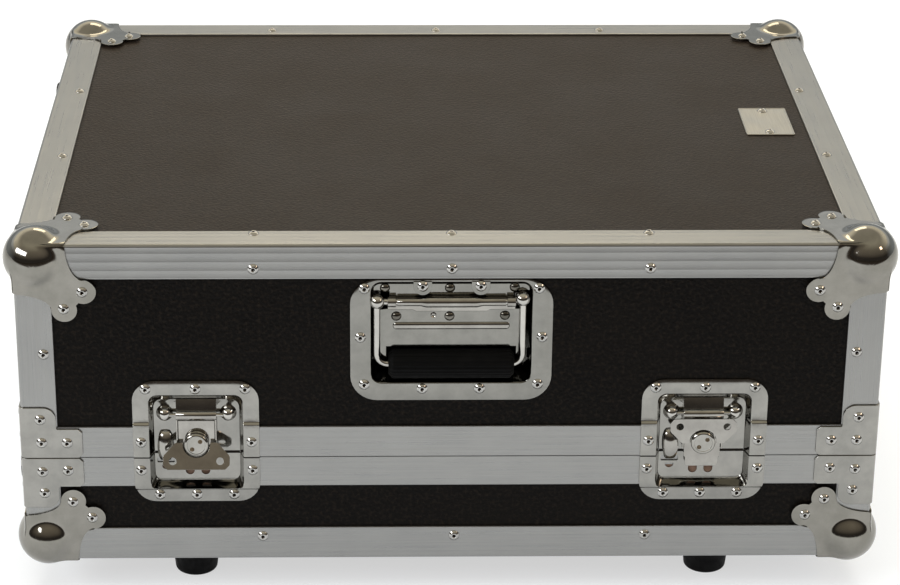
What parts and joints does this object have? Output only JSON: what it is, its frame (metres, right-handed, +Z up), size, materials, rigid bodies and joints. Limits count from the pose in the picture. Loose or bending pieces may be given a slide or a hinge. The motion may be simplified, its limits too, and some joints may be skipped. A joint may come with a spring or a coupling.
{
  "type": "mixer flight case",
  "caption": "Wide low road case with a deep lift-off lid, ribbed metal edging, ball corners, recessed handle and butterfly latches, foam lined, on tall rubber feet.",
  "frame": {"origin": "centre of the bounding box at floor level, under the base's feet", "axes": "+X to the right seen from the front, -Y towards the front with the handle and latches, +Z up"},
  "size_m": [0.724, 0.5812, 0.3316],
  "materials": {
    "laminate": "plywood faced with fine-grained black laminate",
    "rails": "satin extrusion with fine ribs",
    "corners": "polished plated steel",
    "braces": "bright plated steel",
    "name_plate": "brushed, bare",
    "handle_dish": "bright plated pressed steel",
    "bail": "polished",
    "grip": "matt black, ribbed",
    "latch_dish": "bright plated pressed steel",
    "latch_works": "bright plated steel",
    "latch_hub": "polished",
    "feet": "matt black",
    "foam": "dark closed-cell foam"
  },
  "bodies": {
    "base": {"base_floor_panel": "laminate", "base_front_panel": "laminate", "base_back_panel": "laminate", "base_left_panel": "laminate", "base_right_panel": "laminate", "base_seam_frame": "rails", "base_edge_frame": "rails", "base_ball_corner_front_left": "corners", "base_ball_corner_front_right": "corners", "base_ball_corner_back_left": "corners", "base_ball_corner_back_right": "corners", "base_brace_front_left": "braces", "base_brace_front_right": "braces", "base_brace_back_left": "braces", "base_brace_back_right": "braces", "latch_left_lower_dish": "latch_dish", "latch_right_lower_dish": "latch_dish", "foot_front_left": "feet", "foot_front_right": "feet", "foot_back_left": "feet", "foot_back_right": "feet", "base_end_foot_front": "feet", "base_end_foot_back": "feet", "base_foam": "foam"},
    "lid": {"lid_top_panel": "laminate", "lid_front_panel": "laminate", "lid_back_panel": "laminate", "lid_left_panel": "laminate", "lid_right_panel": "laminate", "lid_top_frame": "rails", "lid_post_front_left": "rails", "lid_post_front_right": "rails", "lid_post_back_left": "rails", "lid_post_back_right": "rails", "lid_seam_frame": "rails", "lid_ball_corner_front_left": "corners", "lid_ball_corner_front_right": "corners", "lid_ball_corner_back_left": "corners", "lid_ball_corner_back_right": "corners", "lid_brace_front_left": "braces", "lid_brace_front_right": "braces", "lid_brace_back_left": "braces", "lid_brace_back_right": "braces", "name_plate": "name_plate", "handle_dish": "handle_dish", "latch_left_upper_dish": "latch_dish", "latch_right_upper_dish": "latch_dish", "lid_end_foot_front": "feet", "lid_end_foot_back": "feet", "lid_foam": "foam"},
    "handle": {"handle_bail": "bail", "handle_grip": "grip"},
    "left_bracket": {"latch_left_bracket": "latch_works"},
    "left_hook": {"latch_left_hook": "latch_works"},
    "left_hub": {"latch_left_hub": "latch_hub"},
    "left_wing": {"latch_left_wing": "latch_works"},
    "right_bracket": {"latch_right_bracket": "latch_works"},
    "right_hook": {"latch_right_hook": "latch_works"},
    "right_hub": {"latch_right_hub": "latch_hub"},
    "right_wing": {"latch_right_wing": "latch_works"}
  },
  "joints": [
    {"name": "lid_lift", "type": "slide", "parent": "base", "child": "lid", "axis": [0, 0, 1], "range_m": [0, 0.25]},
    {"name": "handle_fold", "type": "hinge", "parent": "lid", "child": "handle", "pos_m": [0.00103, -0.27739, 0.2718], "axis": [-1, 0, 0], "range_deg": [0, 90], "stiffness_Nm_per_rad": 0.3, "springref_deg": -17.19},
    {"name": "latch_left_swing", "type": "hinge", "parent": "lid", "child": "left_bracket", "pos_m": [-0.20837, -0.27319, 0.1686], "axis": [-1, 0, 0], "range_deg": [-6.7, 95]},
    {"name": "latch_left_draw", "type": "slide", "parent": "left_bracket", "child": "left_hook", "axis": [0, 0.0872, 0.9962], "range_m": [-0.0024, 0]},
    {"name": "latch_left_turn", "type": "hinge", "parent": "left_hook", "child": "left_hub", "pos_m": [-0.20837, -0.28067, 0.14506], "axis": [0, 0.9962, -0.0872], "range_deg": [0, 180]},
    {"name": "latch_left_fold", "type": "hinge", "parent": "left_hub", "child": "left_wing", "pos_m": [-0.20837, -0.28017, 0.14502], "axis": [-1, 0, 0], "range_deg": [-23, 67]},
    {"name": "latch_right_swing", "type": "hinge", "parent": "lid", "child": "right_bracket", "pos_m": [0.21043, -0.27319, 0.1686], "axis": [-1, 0, 0], "range_deg": [-1.7, 100]},
    {"name": "latch_right_draw", "type": "slide", "parent": "right_bracket", "child": "right_hook", "axis": [0, 0, 1], "range_m": [-0.0024, 0]},
    {"name": "latch_right_turn", "type": "hinge", "parent": "right_hook", "child": "right_hub", "pos_m": [0.21043, -0.27859, 0.1445], "axis": [0, 1, 0], "range_deg": [0, 180]},
    {"name": "latch_right_fold", "type": "hinge", "parent": "right_hub", "child": "right_wing", "pos_m": [0.21043, -0.27809, 0.1445], "axis": [1, 0, 0], "range_deg": [0, 90]}
  ],
  "couplings": [
    {"joint": "latch_left_turn", "follows": "latch_left_draw", "rad_per_m": -1309},
    {"joint": "latch_right_turn", "follows": "latch_right_draw", "rad_per_m": -1309}
  ]
}
